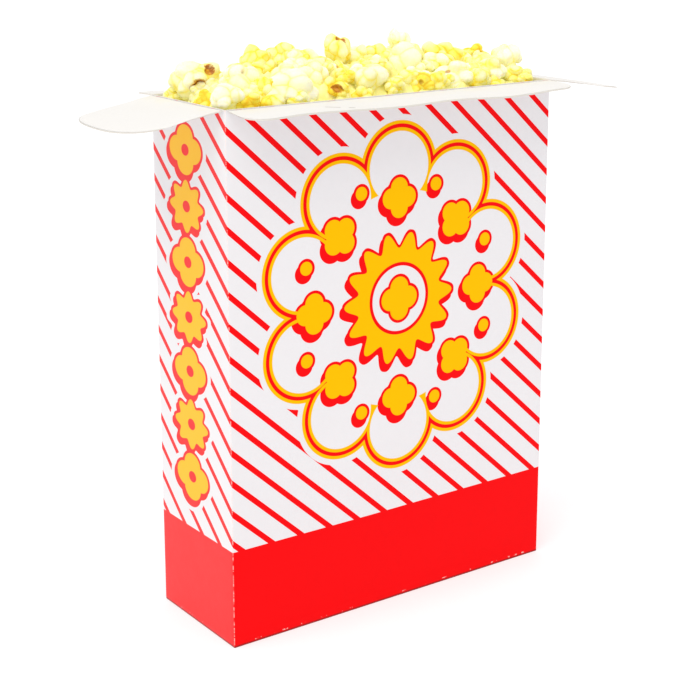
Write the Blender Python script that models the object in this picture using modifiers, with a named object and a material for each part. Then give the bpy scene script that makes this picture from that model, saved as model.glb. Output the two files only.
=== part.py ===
"""A folded paperboard popcorn box with its four mouth flaps folded out, heaped with popped corn.

Metres, +Z up. The origin is the middle of the box's base. +X runs to the right along the wide
front panel, which faces -Y.
"""

import math

import bmesh
import bpy
import numpy as np

# The box
WIDTH = 0.174
DEPTH = 0.060
HEIGHT = 0.232
BOARD = 0.0006
FOLD_RADIUS = 0.0009
PANEL_BOW = 0.0010
PANEL_COLUMNS = 8
PANEL_ROWS = 8

# Clearance between pieces that touch on the real box
GAP = 0.0003

# The flaps: the end flaps are long rounded tongues, the front and back ones are low strips
HINGE_INSET = 0.0003
LEFT_REACH = 0.043
RIGHT_REACH = 0.058
TONGUE_STRAIGHT = 0.58
TONGUE_ROUNDNESS = 2.4
TONGUE_RELIEF = 0.0010
TONGUE_CURL = 0.0015
STRIP_REACH = 0.020
STRIP_CORNER = 0.009
STRIP_RELIEF = 0.0010
STRIP_WAVE = 0.0004
STRIP_WAVES = 2.5
LEFT_DROOP = math.radians(7.0)
RIGHT_DROOP = math.radians(7.0)
STRIP_DROOP = math.radians(5.0)
TONGUE_CELLS = (14, 5)
STRIP_CELLS = (28, 2)

# The heap: a core that fills the box, humped above the rim, with the popped kernels that show
CORE_INSET = 0.0006
CORE_SHOULDER = -0.006
CORE_HUMP = 0.015
CORE_ROUNDNESS = 1.6
CORE_COLUMNS = 14
CORE_ROWS = 6
KERNEL_SEGMENTS = 12
KERNEL_RINGS = 8
FILL_SEED = 11
FILL_WIDTHS = (0.014, 0.019)
FILL_JITTER = 0.0025
FILL_CLEARANCE = 0.0105
# Rule-placed layers: height of the middles above the core, columns, rows, share of the depth
FILL_LAYERS = ((0.001, 11, 4, 0.80), (0.005, 9, 2, 0.42))

# Kernels placed by eye: middle from the front left corner of the rim, width and height, in mm
PLACED_KERNELS = (
    (13, 43, 6, 27, 19),
    (8, 11, 3, 16, 13),
    (23, 24, 7, 19, 17),
    (41, 42, 14, 16, 14),
    (55, 43, 14, 16, 15),
    (17, 9, 2, 11, 9),
    (29, 15, 5, 12, 13),
    (39, 14, 4, 30, 18),
    (58, 35, 12, 20, 16),
    (79, 34, 17, 15, 16),
    (92, 38, 12, 14, 14),
    (101, 36, 12, 15, 15),
    (70, 22, 8, 12, 13),
    (61, 10, 3, 14, 12),
    (79, 14, 5, 22, 18),
    (91, 9, 2, 12, 10),
    (110, 27, 9, 22, 21),
    (108, 29, 20, 11, 12),
    (106, 11, 2, 18, 12),
    (135, 30, 10, 20, 17),
    (128, 13, 4, 25, 14),
    (157, 33, 9, 18, 13),
    (149, 14, 4, 17, 15),
    (167, 20, 8, 17, 18),
    (164, 10, 2, 18, 11),
    (7, 52, 0, 12, 10),
    (8, 28, 0, 12, 11),
    (20, 54, 3, 14, 12),
)


def new_material(name, colour, roughness):
    """Return a Principled material."""
    material = bpy.data.materials.new(name)
    material.use_nodes = True
    shader = material.node_tree.nodes["Principled BSDF"]
    shader.inputs["Base Color"].default_value = (*colour, 1.0)
    shader.inputs["Roughness"].default_value = roughness
    shader.inputs["Metallic"].default_value = 0.0
    return material


def add_object(name, mesh, collection, material=None):
    """Put a mesh into a collection as an object of that name."""
    piece = bpy.data.objects.new(name, mesh)
    collection.objects.link(piece)
    if material is not None:
        mesh.materials.append(material)
    return piece


def mesh_from_bmesh(name, shape):
    """Turn a bmesh into a mesh and free it."""
    mesh = bpy.data.meshes.new(name)
    shape.to_mesh(mesh)
    shape.free()
    return mesh


def make_carton(collection, material):
    """The folded box: base and four walls of one board, open at the top."""
    shape = bmesh.new()
    bmesh.ops.create_cube(shape, size=1.0)
    for vertex in shape.verts:
        x, y, z = vertex.co
        vertex.co = (x * WIDTH, y * DEPTH, (z + 0.5) * HEIGHT)
    lid = [face for face in shape.faces if face.normal.z > 0.5]
    bmesh.ops.delete(shape, geom=lid, context="FACES_ONLY")
    folds = [edge for edge in shape.edges if not edge.is_boundary]
    bmesh.ops.bevel(shape, geom=folds, offset=FOLD_RADIUS, segments=2, profile=0.5, affect="EDGES")
    cuts = [((WIDTH * (i / PANEL_COLUMNS - 0.5), 0, 0), (1, 0, 0)) for i in range(1, PANEL_COLUMNS)]
    cuts += [((0, 0, HEIGHT * i / PANEL_ROWS), (0, 0, 1)) for i in range(1, PANEL_ROWS)]
    for point, normal in cuts:
        whole = shape.verts[:] + shape.edges[:] + shape.faces[:]
        bmesh.ops.bisect_plane(shape, geom=whole, plane_co=point, plane_no=normal)
    for vertex in shape.verts:
        if abs(vertex.co.y) > DEPTH / 2 - FOLD_RADIUS / 4:
            along = math.cos(math.pi * vertex.co.x / WIDTH)
            up = math.sin(math.pi * vertex.co.z / HEIGHT)
            vertex.co.y += math.copysign(PANEL_BOW * along * up, vertex.co.y)
    carton = add_object("carton", mesh_from_bmesh("carton", shape), collection, material)
    wall = carton.modifiers.new("board", "SOLIDIFY")
    wall.thickness = BOARD
    wall.offset = -1.0
    wall.use_even_offset = True
    return carton


def tongue_outline(across):
    """The share of its reach that a tongue has at a place across it, from -1 to 1."""
    rounded = (1 - abs(across) ** TONGUE_ROUNDNESS) ** (1 / TONGUE_ROUNDNESS)
    return TONGUE_STRAIGHT + (1 - TONGUE_STRAIGHT) * rounded


def strip_outline(across):
    """The share of its reach that a strip has at a place along it: all of it but for rounded ends."""
    from_end = (1 - abs(across)) * (WIDTH / 2 - STRIP_RELIEF)
    short = max(STRIP_CORNER - from_end, 0.0)
    return 1 - (STRIP_CORNER - math.sqrt(STRIP_CORNER**2 - short**2)) / STRIP_REACH


def tongue_rise(across, share):
    """The tongue curls down towards its tip."""
    return -TONGUE_CURL * share**2


def strip_rise(across, share):
    """The strip's free edge is slightly wavy."""
    return STRIP_WAVE * share * math.sin(STRIP_WAVES * math.pi * across)


def make_flap(name, shape_rule, reach, hinge, turn, droop, collection, material):
    """A flap on its crease: the mesh runs along local +Y from the hinge line at its origin.

    Its outline comes from the share of its reach at each place across it. The columns crowd
    towards the sides, where the outline turns.
    """
    shape = bmesh.new()
    columns, rows = shape_rule["cells"]
    bmesh.ops.create_grid(shape, x_segments=columns, y_segments=rows, size=1.0)
    for vertex in shape.verts:
        across = math.sin(vertex.co.x * math.pi / 2)
        share = (vertex.co.y + 1) / 2
        out = reach * shape_rule["outline"](across) * share - HINGE_INSET
        vertex.co = (across * shape_rule["half"], out, shape_rule["rise"](across, share))
    flap = add_object(name, mesh_from_bmesh(name, shape), collection, material)
    board = flap.modifiers.new("board", "SOLIDIFY")
    board.thickness = BOARD
    board.offset = 0.0
    flap.location = hinge
    flap.rotation_euler = (-droop, 0.0, turn)
    return flap


def make_flaps(collection, material):
    """The four flaps, each hinged just outside the rim."""
    tongue_half = DEPTH / 2 - TONGUE_RELIEF
    strip_half = WIDTH / 2 - STRIP_RELIEF
    tongue = {"outline": tongue_outline, "rise": tongue_rise, "half": tongue_half, "cells": TONGUE_CELLS}
    strip = {"outline": strip_outline, "rise": strip_rise, "half": strip_half, "cells": STRIP_CELLS}
    side = WIDTH / 2 + GAP + HINGE_INSET
    face = DEPTH / 2 + GAP + HINGE_INSET
    level = HEIGHT - BOARD / 2
    quarter = math.pi / 2
    left, right = (-side, 0.0, level), (side, 0.0, level)
    front, back = (0.0, -face, level), (0.0, face, level)
    make_flap("flap_left", tongue, LEFT_REACH, left, quarter, LEFT_DROOP, collection, material)
    make_flap("flap_right", tongue, RIGHT_REACH, right, -quarter, RIGHT_DROOP, collection, material)
    make_flap("flap_front", strip, STRIP_REACH, front, math.pi, STRIP_DROOP, collection, material)
    make_flap("flap_back", strip, STRIP_REACH, back, 0.0, STRIP_DROOP, collection, material)


def core_top(x, y):
    """Height of the core's humped top at a place in the mouth."""
    across = 1 - abs(2 * y / DEPTH) ** CORE_ROUNDNESS
    along = 1 - abs(2 * x / WIDTH) ** (4 * CORE_ROUNDNESS)
    return HEIGHT + CORE_SHOULDER + CORE_HUMP * across * along


def make_core():
    """The closed block that fills the box, with a humped top."""
    half_width = WIDTH / 2 - BOARD - CORE_INSET
    half_depth = DEPTH / 2 - BOARD - CORE_INSET
    shape = bmesh.new()
    bmesh.ops.create_grid(shape, x_segments=CORE_COLUMNS, y_segments=CORE_ROWS, size=1.0)
    for vertex in shape.verts:
        x = vertex.co.x * half_width
        y = vertex.co.y * half_depth
        vertex.co = (x, y, core_top(x, y))
    rim = [edge for edge in shape.edges if edge.is_boundary]
    skirt = bmesh.ops.extrude_edge_only(shape, edges=rim)["geom"]
    for vertex in (item for item in skirt if isinstance(item, bmesh.types.BMVert)):
        vertex.co.z = BOARD + CORE_INSET
    foot = [edge for edge in shape.edges if edge.is_boundary]
    bmesh.ops.contextual_create(shape, geom=foot)
    bmesh.ops.recalc_face_normals(shape, faces=shape.faces)
    return mesh_from_bmesh("core", shape)


def kernel_lobes(rng):
    """Middles and radii of the lobes of a popped kernel that fills a ball of radius 1.

    The lobes' directions follow a golden spiral over the ball, each nudged at random.
    """
    count = int(rng.integers(6, 10))
    step = np.arange(count) + 0.5
    height = 1 - 2 * step / count
    turn = math.pi * (3 - math.sqrt(5)) * step + rng.uniform(0, 2 * math.pi)
    ring = np.sqrt(1 - height**2)
    ways = np.stack([ring * np.cos(turn), ring * np.sin(turn), height], axis=1)
    ways += rng.normal(0, 0.16, ways.shape)
    ways /= np.linalg.norm(ways, axis=1, keepdims=True)
    radii = rng.uniform(0.34, 0.56, count)
    middles = ways * (rng.uniform(0.86, 1.04, count) - radii)[:, None]
    heart = rng.normal(0, 0.04, (1, 3))
    return np.vstack([middles, heart]), np.append(radii, 0.52)


def kernel_reach(ways, lobes):
    """How far the union of the lobes reaches from the kernel's middle in each direction.

    A ray leaves a ball where the quadratic for its distance has its larger root. The farthest
    of those exits over all lobes is the surface.
    """
    middles, radii = lobes
    along = ways @ middles.T
    inside = radii**2 - (np.sum(middles**2, axis=1) - along**2)
    exits = np.where(inside > 0, along + np.sqrt(np.maximum(inside, 0)), 0)
    return exits.max(axis=1)


def shift_into_mouth(points):
    """Move a kernel sideways until it stands clear of the walls' planes."""
    clear = np.array([WIDTH / 2, DEPTH / 2]) - BOARD - GAP
    low = points[:, :2].min(axis=0)
    high = points[:, :2].max(axis=0)
    points[:, :2] += np.maximum(-clear - low, 0) - np.maximum(high - clear, 0)
    return points


def make_kernel(name, lobes, middle, width, height, collection):
    """A popped kernel with few sides."""
    shape = bmesh.new()
    bmesh.ops.create_uvsphere(shape, u_segments=KERNEL_SEGMENTS, v_segments=KERNEL_RINGS, radius=1.0)
    ways = np.array([vertex.co for vertex in shape.verts])
    half = np.array([width, (width + height) / 2, height]) / 2
    points = ways * kernel_reach(ways, lobes)[:, None] * half + middle
    for vertex, point in zip(shape.verts, shift_into_mouth(points)):
        vertex.co = point
    bmesh.ops.triangulate(shape, faces=shape.faces)
    return add_object(name, mesh_from_bmesh(name, shape), collection)


def kernel_places():
    """Middle, width and height of every kernel: those placed by eye, then the rest by rule.

    The rest stand on staggered, jittered grids over the hump, where no other is near.
    """
    corner = np.array([-WIDTH / 2, -DEPTH / 2, HEIGHT])
    placed = np.array(PLACED_KERNELS) * 0.001
    places = [(corner + row[:3], row[3], row[4]) for row in placed]
    rng = np.random.default_rng(FILL_SEED)
    for lift, columns, rows, share in FILL_LAYERS:
        for i, j in np.ndindex(columns, rows):
            stagger = 0.25 if j % 2 else -0.25
            x = ((i + 0.5 + stagger) / columns - 0.5) * WIDTH + rng.uniform(-FILL_JITTER, FILL_JITTER)
            y = ((j + 0.5) / rows - 0.5) * DEPTH * share + rng.uniform(-FILL_JITTER, FILL_JITTER)
            middle = np.array([x, y, core_top(x, y) + lift])
            width = rng.uniform(*FILL_WIDTHS)
            height = width * rng.uniform(0.72, 0.92)
            if min(np.linalg.norm(middle - place[0]) for place in places) > FILL_CLEARANCE:
                places.append((middle, width, height))
    return places


def keep_largest_shell(mesh):
    """Drop loose scraps and fill sealed hollows: only the outer shell of the heap stays."""
    shape = bmesh.new()
    shape.from_mesh(mesh)
    waiting = set(shape.verts)
    shells = []
    while waiting:
        found = {waiting.pop()}
        edge_of_search = list(found)
        while edge_of_search:
            vertex = edge_of_search.pop()
            for edge in vertex.link_edges:
                other = edge.other_vert(vertex)
                if other not in found:
                    found.add(other)
                    edge_of_search.append(other)
        waiting -= found
        shells.append(found)
    largest = max(shells, key=len)
    loose = [vertex for vertex in shape.verts if vertex not in largest]
    bmesh.ops.delete(shape, geom=loose, context="VERTS")
    shape.to_mesh(mesh)
    shape.free()


def make_popcorn(collection, material):
    """The heap: the core with every kernel that shows fused to it."""
    kernels = bpy.data.collections.new("kernels")
    bpy.context.scene.collection.children.link(kernels)
    for index, (middle, width, height) in enumerate(kernel_places()):
        lobes = kernel_lobes(np.random.default_rng(index))
        make_kernel(f"kernel_{index}", lobes, middle, width, height, kernels)
    core = add_object("popcorn", make_core(), collection)
    fuse = core.modifiers.new("fuse", "BOOLEAN")
    fuse.operation = "UNION"
    fuse.operand_type = "COLLECTION"
    fuse.collection = kernels
    fuse.solver = "EXACT"
    evaluated = core.evaluated_get(bpy.context.evaluated_depsgraph_get())
    fused = bpy.data.meshes.new_from_object(evaluated)
    keep_largest_shell(fused)
    bpy.data.objects.remove(core)
    for kernel in list(kernels.objects):
        bpy.data.objects.remove(kernel)
    bpy.data.collections.remove(kernels)
    return add_object("popcorn", fused, collection, material)


def main():
    for item in list(bpy.data.objects):
        bpy.data.objects.remove(item)
    collection = bpy.data.collections.new("popcorn_box")
    bpy.context.scene.collection.children.link(collection)
    printed_board = new_material("printed_board", (0.88, 0.84, 0.84), 0.45)
    bare_board = new_material("bare_board", (0.93, 0.90, 0.84), 0.65)
    popped_corn = new_material("popped_corn", (0.95, 0.85, 0.50), 0.60)
    make_carton(collection, printed_board)
    make_flaps(collection, bare_board)
    make_popcorn(collection, popped_corn)


main()
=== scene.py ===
import math

import bmesh
import bpy
import numpy as np
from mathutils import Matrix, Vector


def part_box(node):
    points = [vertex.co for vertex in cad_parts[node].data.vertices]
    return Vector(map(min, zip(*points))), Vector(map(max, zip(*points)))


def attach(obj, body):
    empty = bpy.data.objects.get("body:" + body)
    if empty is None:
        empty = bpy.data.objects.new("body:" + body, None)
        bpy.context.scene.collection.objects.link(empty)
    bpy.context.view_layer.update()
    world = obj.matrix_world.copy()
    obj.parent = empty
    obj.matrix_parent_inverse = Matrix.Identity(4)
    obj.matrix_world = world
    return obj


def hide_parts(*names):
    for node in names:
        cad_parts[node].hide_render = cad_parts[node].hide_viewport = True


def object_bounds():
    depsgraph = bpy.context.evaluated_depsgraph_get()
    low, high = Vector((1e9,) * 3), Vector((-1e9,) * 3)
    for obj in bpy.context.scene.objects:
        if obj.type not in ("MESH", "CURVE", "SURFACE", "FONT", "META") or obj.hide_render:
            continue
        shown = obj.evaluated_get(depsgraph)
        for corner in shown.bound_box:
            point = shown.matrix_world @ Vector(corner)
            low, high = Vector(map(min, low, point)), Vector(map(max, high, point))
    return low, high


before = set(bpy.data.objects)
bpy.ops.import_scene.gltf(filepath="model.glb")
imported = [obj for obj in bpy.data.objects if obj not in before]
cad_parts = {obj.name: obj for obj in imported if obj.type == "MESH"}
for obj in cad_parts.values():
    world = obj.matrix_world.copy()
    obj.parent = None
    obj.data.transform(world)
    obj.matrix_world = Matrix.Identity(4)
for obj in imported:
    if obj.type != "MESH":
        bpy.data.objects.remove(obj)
cadBox = [list(corner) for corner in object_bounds()]

# Sizes in metres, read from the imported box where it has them. +X runs right along the wide front
# panel, which faces -Y. The base stands on z = 0.
cartonLow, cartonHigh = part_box("carton")
box = {
    "width": cartonHigh.x - cartonLow.x,
    "height": cartonHigh.z - cartonLow.z,
    "bow": 0.0010,  # how far the wide panels bulge at their middle
    "board": 0.0006,
    "gap": 0.0003,
    "fold": 0.0006,  # radius of the vertical folds and of the edge round the base
    "lip": 0.0003,  # how far the rim turns out to meet its flaps
    "lipHeight": 0.0012,
    "ripple": 0.00012,
    "band": 0.0440,  # height of the plain band round the foot
}
box["depth"] = cartonHigh.y - cartonLow.y - 2 * box["bow"]
boxInMm = [round(box[key] * 1000, 1) for key in ("width", "depth", "height")]
print("frame loaded, box", boxInMm, "mm")


def gridFaces(rows, columns, wrapColumns=False):
    # Quads of a grid of points numbered row by row; wrapping joins the last column to the first
    i = np.arange(rows - 1)[:, None]
    j = np.arange(columns if wrapColumns else columns - 1)[None, :]
    nextJ = (j + 1) % columns
    corners = (i * columns + j, (i + 1) * columns + j, (i + 1) * columns + nextJ, i * columns + nextJ)
    return np.stack(np.broadcast_arrays(*corners), axis=-1).reshape(-1, 4)


def borderRing(rows, columns):
    # Numbers of the points round the border of such a grid
    index = np.arange(rows * columns).reshape(rows, columns)
    return np.concatenate([index[0, :-1], index[:-1, -1], index[-1, :0:-1], index[:0:-1, 0]])


def ringFaces(upper, lower):
    # Quads between two rings of point numbers
    return np.column_stack([upper, lower, np.roll(lower, -1), np.roll(upper, -1)])


def signedVolume(points, faceSets):
    # Sum of the tetrahedra between the origin and each face's fan of triangles
    total = 0.0
    for faces in faceSets:
        for k in range(1, faces.shape[1] - 1):
            a, b, c = points[faces[:, 0]], points[faces[:, k]], points[faces[:, k + 1]]
            total += np.einsum("ij,ij->", a, np.cross(b, c))
    return total / 6


def addObject(name, data):
    # An object of that data, put in the scene
    thing = bpy.data.objects.new(name, data)
    bpy.context.scene.collection.objects.link(thing)
    return thing


def newPiece(name, points, faceSets, materials, slots=None, corn=None, closed=True):
    # A mesh object from arrays of points and faces; a closed one is turned to face outwards
    if closed and signedVolume(points - points.mean(axis=0), faceSets) < 0:
        faceSets = [faces[:, ::-1] for faces in faceSets]
    mesh = bpy.data.meshes.new(name)
    corners = np.concatenate([faces.ravel() for faces in faceSets])
    sizes = np.concatenate([np.full(len(faces), faces.shape[1]) for faces in faceSets])
    mesh.vertices.add(len(points))
    mesh.vertices.foreach_set("co", points.astype(np.float32).ravel())
    mesh.loops.add(len(corners))
    mesh.loops.foreach_set("vertex_index", corners.astype(np.int32))
    mesh.polygons.add(len(sizes))
    mesh.polygons.foreach_set("loop_start", (np.cumsum(sizes) - sizes).astype(np.int32))
    for material in materials:
        mesh.materials.append(material)
    if slots is not None:
        mesh.polygons.foreach_set("material_index", slots.astype(np.int32))
    mesh.polygons.foreach_set("use_smooth", np.ones(len(sizes), dtype=bool))
    mesh.update(calc_edges=True)
    if corn is not None:
        attribute = mesh.attributes.new("corn", "FLOAT_VECTOR", "POINT")
        attribute.data.foreach_set("vector", corn.astype(np.float32).ravel())
    mesh.validate()
    return addObject(name, mesh)


def waves(places, rng, pitch, terms=7):
    # Smooth noise of about -1 to 1: sine waves of about that pitch in random directions, summed
    ways = rng.normal(size=(terms, places.shape[1]))
    ways /= np.linalg.norm(ways, axis=1, keepdims=True) * pitch * rng.uniform(0.7, 1.5, (terms, 1))
    turns = 2 * math.pi * (places @ ways.T) + rng.uniform(0, 2 * math.pi, terms)
    return np.sin(turns).sum(axis=1) / math.sqrt(terms)


inkSoftness = 0.00016  # of a printed edge, in metres


class Wire:
    # One output socket. An expression on it adds Math nodes and gives their output.
    def __init__(self, finish, socket):
        self.finish = finish
        self.socket = socket

    def sibling(self, output):
        return Wire(self.finish, self.socket.node.outputs[output])

    def __add__(self, other):
        return self.finish.maths("ADD", self, other)

    def __sub__(self, other):
        return self.finish.maths("SUBTRACT", self, other)

    def __rsub__(self, other):
        return self.finish.maths("SUBTRACT", other, self)

    def __mul__(self, other):
        return self.finish.maths("MULTIPLY", self, other)

    def __truediv__(self, other):
        return self.finish.maths("DIVIDE", self, other)

    def __mod__(self, other):
        return self.finish.maths("FLOORED_MODULO", self, other)

    def __abs__(self):
        return self.finish.maths("ABSOLUTE", self)

    __radd__ = __add__
    __rmul__ = __mul__

    def below(self, edge, soft=inkSoftness):
        # 1 well under the edge, 0 well over it, with a step that wide between
        return self.finish.maths("MULTIPLY_ADD", self, -1 / soft, edge / soft + 0.5, clamp=True)

    def above(self, edge, soft):
        return self.finish.maths("MULTIPLY_ADD", self, 1 / soft, 0.5 - edge / soft, clamp=True)

    def least(self, other):
        return self.finish.maths("MINIMUM", self, other)

    def most(self, other):
        return self.finish.maths("MAXIMUM", self, other)


class Finish:
    # A material being built round its Principled shader, with the constants set on its sockets
    def __init__(self, name, constants):
        self.material = bpy.data.materials.new(name)
        self.material.use_nodes = True
        self.tree = self.material.node_tree
        self.shader = self.tree.nodes["Principled BSDF"]
        for socket, value in constants.items():
            self.shader.inputs[socket].default_value = value

    def make(self, kind, settings, inputs, output=0):
        # Any node: its settings first, then the values or links of its sockets
        node = self.tree.nodes.new(kind)
        for key, value in settings.items():
            if key == "stops":
                ramp = node.color_ramp
                while len(ramp.elements) < len(value):
                    ramp.elements.new(0.5)
                for element, (place, colour) in zip(ramp.elements, value):
                    element.position = place
                    element.color = (*colour, 1)
            else:
                setattr(node, key, value)
        for key, value in inputs.items():
            if isinstance(value, Wire):
                self.tree.links.new(value.socket, node.inputs[key])
            else:
                node.inputs[key].default_value = value
        return Wire(self, node.outputs[output])

    def maths(self, operation, *values, clamp=False):
        settings = {"operation": operation, "use_clamp": clamp}
        return self.make("ShaderNodeMath", settings, dict(enumerate(values)))

    def feed(self, socket, wire):
        self.tree.links.new(wire.socket, self.shader.inputs[socket])

    def place(self):
        return self.make("ShaderNodeTexCoord", {}, {}, "Object")

    def parts(self, vector):
        first = self.make("ShaderNodeSeparateXYZ", {}, {0: vector})
        return first, first.sibling(1), first.sibling(2)

    def flat(self, across, up):
        return self.make("ShaderNodeCombineXYZ", {}, {0: across, 1: up})

    def distance(self, vector, centre):
        return self.make("ShaderNodeVectorMath", {"operation": "DISTANCE"}, {0: vector, 1: centre}, 1)

    def noise(self, vector, scale, detail=2.0, roughness=0.5):
        inputs = {"Vector": vector, "Scale": scale, "Detail": detail, "Roughness": roughness}
        return self.make("ShaderNodeTexNoise", {}, inputs)

    def mix(self, factor, first, second):
        inputs = {0: factor}
        for key, colour in ((6, first), (7, second)):
            inputs[key] = colour if isinstance(colour, Wire) else (*colour, 1)
        return self.make("ShaderNodeMix", {"data_type": "RGBA"}, inputs, 2)

    def shade(self, colour, value):
        # A colour made lighter or darker by a number
        grey = self.make("ShaderNodeCombineColor", {}, {0: value, 1: value, 2: value})
        settings = {"data_type": "RGBA", "blend_type": "MULTIPLY"}
        return self.make("ShaderNodeMix", settings, {0: 1.0, 6: (*colour, 1), 7: grey}, 2)

    def ramp(self, factor, stops):
        return self.make("ShaderNodeValToRGB", {"stops": stops}, {0: factor})

    def bump(self, height, distance, strength=1.0):
        inputs = {"Strength": strength, "Distance": distance, "Height": height}
        self.feed("Normal", self.make("ShaderNodeBump", {}, inputs))


# The print: red stripes that climb round the box, a band at the foot, a scalloped medallion on each
# wide panel and a column of small motifs on each narrow one
ink = {
    "white": (0.785, 0.775, 0.785),
    "red": (0.88, 0.004, 0.006),
    "yellow": (0.93, 0.50, 0.0),
    "pale": (0.86, 0.66, 0.60),
    "foot": (0.16, 0.025, 0.02),  # painted shade: the ink darkened along the foot, where the edge is in shade
    "halo": 0.0026,  # white kept clear round the art
    "outline": 0.0013,
    "shadow": (0.0014, 0.0022),  # the art's red shadow falls to the lower left
}
stripe = {"pitch": 0.01355, "thickness": 0.0034, "slope": 0.905, "first": 0.2242}
medallion = {
    "up": 0.142,
    "scallops": 10,
    "ring": (0.0530, 0.0583),
    "scallop": 0.0205,
    "line": 0.0046,
    "core": 0.0017,
    "burst": 0.0262,
    "points": 14,
    "wave": 0.0034,
    "eye": 0.0155,
    "eyeLine": 0.0016,
    "seed": 0.62,  # the puff in the eye, as a share of it
    "puffs": 8,
    "puffRing": 0.0450,
    "puff": 0.0088,
    "dot": 0.0030,
    "dotRing": 0.0530,
}
column = {
    "across": -0.0024,
    "low": 0.0560,
    "pitch": 0.0240,
    "count": 7,
    "puff": 0.0104,
    "burst": 0.0098,
    "wave": 0.0015,
    "points": 8,
    "eye": 0.24,  # as a share of the puff
    "margin": 0.6,  # white past the halo, in outlines
    "squash": 0.82,  # the motifs are that much narrower before they are stretched across
}
puffShape = {"reach": 0.5, "lobe": 0.52}  # shares of a puff's size


def puffGap(finish, across, up, size):
    # Distance from a four-lobed puff: the nearer lobe's, folded into the quarter plane
    spot = finish.flat(abs(across), abs(up))
    reach = size * puffShape["reach"]
    right = finish.distance(spot, (reach, 0, 0))
    top = finish.distance(spot, (0, reach, 0))
    return right.least(top) - size * puffShape["lobe"]


def burstGap(finish, rho, turn, size, wave, points):
    # Distance from a wavy-edged disc, evened out by the slope of its edge
    spin = turn * points
    edge = finish.maths("COSINE", spin) * wave + size
    slope = finish.maths("SINE", spin) * (wave * points) / rho
    return (rho - edge) / finish.maths("SQRT", slope * slope + 1)


def polar(finish, across, up):
    # Distance from the middle, and the angle round it
    rho = finish.make("ShaderNodeVectorMath", {"operation": "LENGTH"}, {0: finish.flat(across, up)}, 1)
    return rho, finish.maths("ARCTAN2", up, across)


def ringPlace(finish, rho, turn, count, offset):
    # A place seen from the nearest of the spots that stand evenly round a ring
    step = 2 * math.pi / count
    near = (turn + (offset + 0.5) * step) % step - step / 2
    return rho * finish.maths("COSINE", near), rho * finish.maths("SINE", near)


def medallionMotifs(finish, across, up):
    # Distance from the big burst in the middle and the puffs and dots round it
    rho, turn = polar(finish, across, up)
    burst = burstGap(finish, rho, turn, medallion["burst"], medallion["wave"], medallion["points"])
    out, side = ringPlace(finish, rho, turn, medallion["puffs"], 0)
    puffs = puffGap(finish, out - medallion["puffRing"], side, medallion["puff"])
    out, side = ringPlace(finish, rho, turn, medallion["puffs"], 0.5)
    dots = polar(finish, out - medallion["dotRing"], side)[0] - medallion["dot"]
    return burst.least(puffs).least(dots)


def medallionPrint(finish, across, up):
    # Masks of the halo, the red and the yellow of a wide panel's art
    up = up - medallion["up"]
    flat = finish.flat(across, up)
    scallops = None
    for k in range(medallion["scallops"]):
        angle = 2 * math.pi * (k + 0.5) / medallion["scallops"]
        centre = (medallion["ring"][0] * math.cos(angle), medallion["ring"][1] * math.sin(angle), 0)
        away = finish.distance(flat, centre)
        scallops = away if scallops is None else scallops.least(away)
    rho = polar(finish, across, up)[0]
    edge = (scallops - medallion["scallop"]).least(rho - medallion["ring"][0])
    line = abs(edge + medallion["line"] / 2)
    lineRed = line.below(medallion["core"] / 2)
    lineYellow = line.below(medallion["line"] / 2)
    motif = medallionMotifs(finish, across, up)
    shadow = medallionMotifs(finish, across + ink["shadow"][0], up + ink["shadow"][1])
    inEye = rho.below(medallion["eye"])
    eyeLine = abs(rho - medallion["eye"]).below(medallion["eyeLine"] / 2)
    seed = puffGap(finish, across, up, medallion["eye"] * medallion["seed"])
    seedRed = seed.below(ink["outline"])
    seedYellow = seed.below(0.0)
    motifRed = motif.least(shadow).below(ink["outline"]) * (1 - inEye)
    motifYellow = motif.below(0.0) * (1 - inEye)
    red = lineYellow.most(motifRed).most(eyeLine).most(seedRed)
    yellow = (lineYellow - lineRed).most(motifYellow * (1 - eyeLine)).most(seedYellow)
    return edge.below(ink["halo"]), red, yellow


def columnMotifs(finish, across, up):
    # Distance from the nearest motif of the column: puffs and bursts by turns
    across = (across - column["across"]) * column["squash"]
    cell = (up - column["low"]) / column["pitch"]
    index = finish.maths("FLOOR", cell).most(0).least(column["count"] - 1)
    v = up - column["low"] - (index + 0.5) * column["pitch"]
    rho, turn = polar(finish, across, v)
    puff = puffGap(finish, across, v, column["puff"])
    burst = burstGap(finish, rho, turn, column["burst"], column["wave"], column["points"])
    odd = index % 2
    return puff * (1 - odd) + burst * odd, rho


def columnPrint(finish, across, up):
    # Masks of the halo, the red and the yellow of a narrow panel's art
    motif, rho = columnMotifs(finish, across, up)
    shadow = columnMotifs(finish, across + ink["shadow"][0], up + ink["shadow"][1])[0]
    both = motif.least(shadow)
    halo = both.below(ink["halo"] + ink["outline"] * column["margin"])
    eye = rho.below(column["puff"] * column["eye"])
    red = both.below(ink["outline"])
    yellow = motif.below(0.0) * (1 - eye)
    return halo, red, yellow


def stripeMask(finish, along, up):
    # Stripes of even pitch up the box, sheared along its unrolled girth
    count = (up + along * stripe["slope"] - stripe["first"]) / stripe["pitch"]
    near = abs((count + 0.5) % 1 - 0.5) * stripe["pitch"]
    return near.below(stripe["thickness"] / 2)


# How the print varies and wears, and the painted shade along its foot. Scales are those of the noise;
# widths and heights are in metres.
wearAndFootShade = {
    "mottle": 260,
    "cloud": 24,
    "crackWidth": 0.0003, "crackScale": 420, "crackShare": 0.50,  # along the folds
    "scuffHeight": 0.0016, "scuffWidth": 0.0003, "scuffScale": 330, "scuffShare": 0.62,
    # painted shade along the foot: its height, softness and depth
    "footHeight": 0.0010, "footSoft": 0.0007, "footDepth": 0.75,
    "bare": 0.8,  # how far worn ink fades to the pale colour
    "relief": 1400,
    "bump": 0.00003,
}


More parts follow.
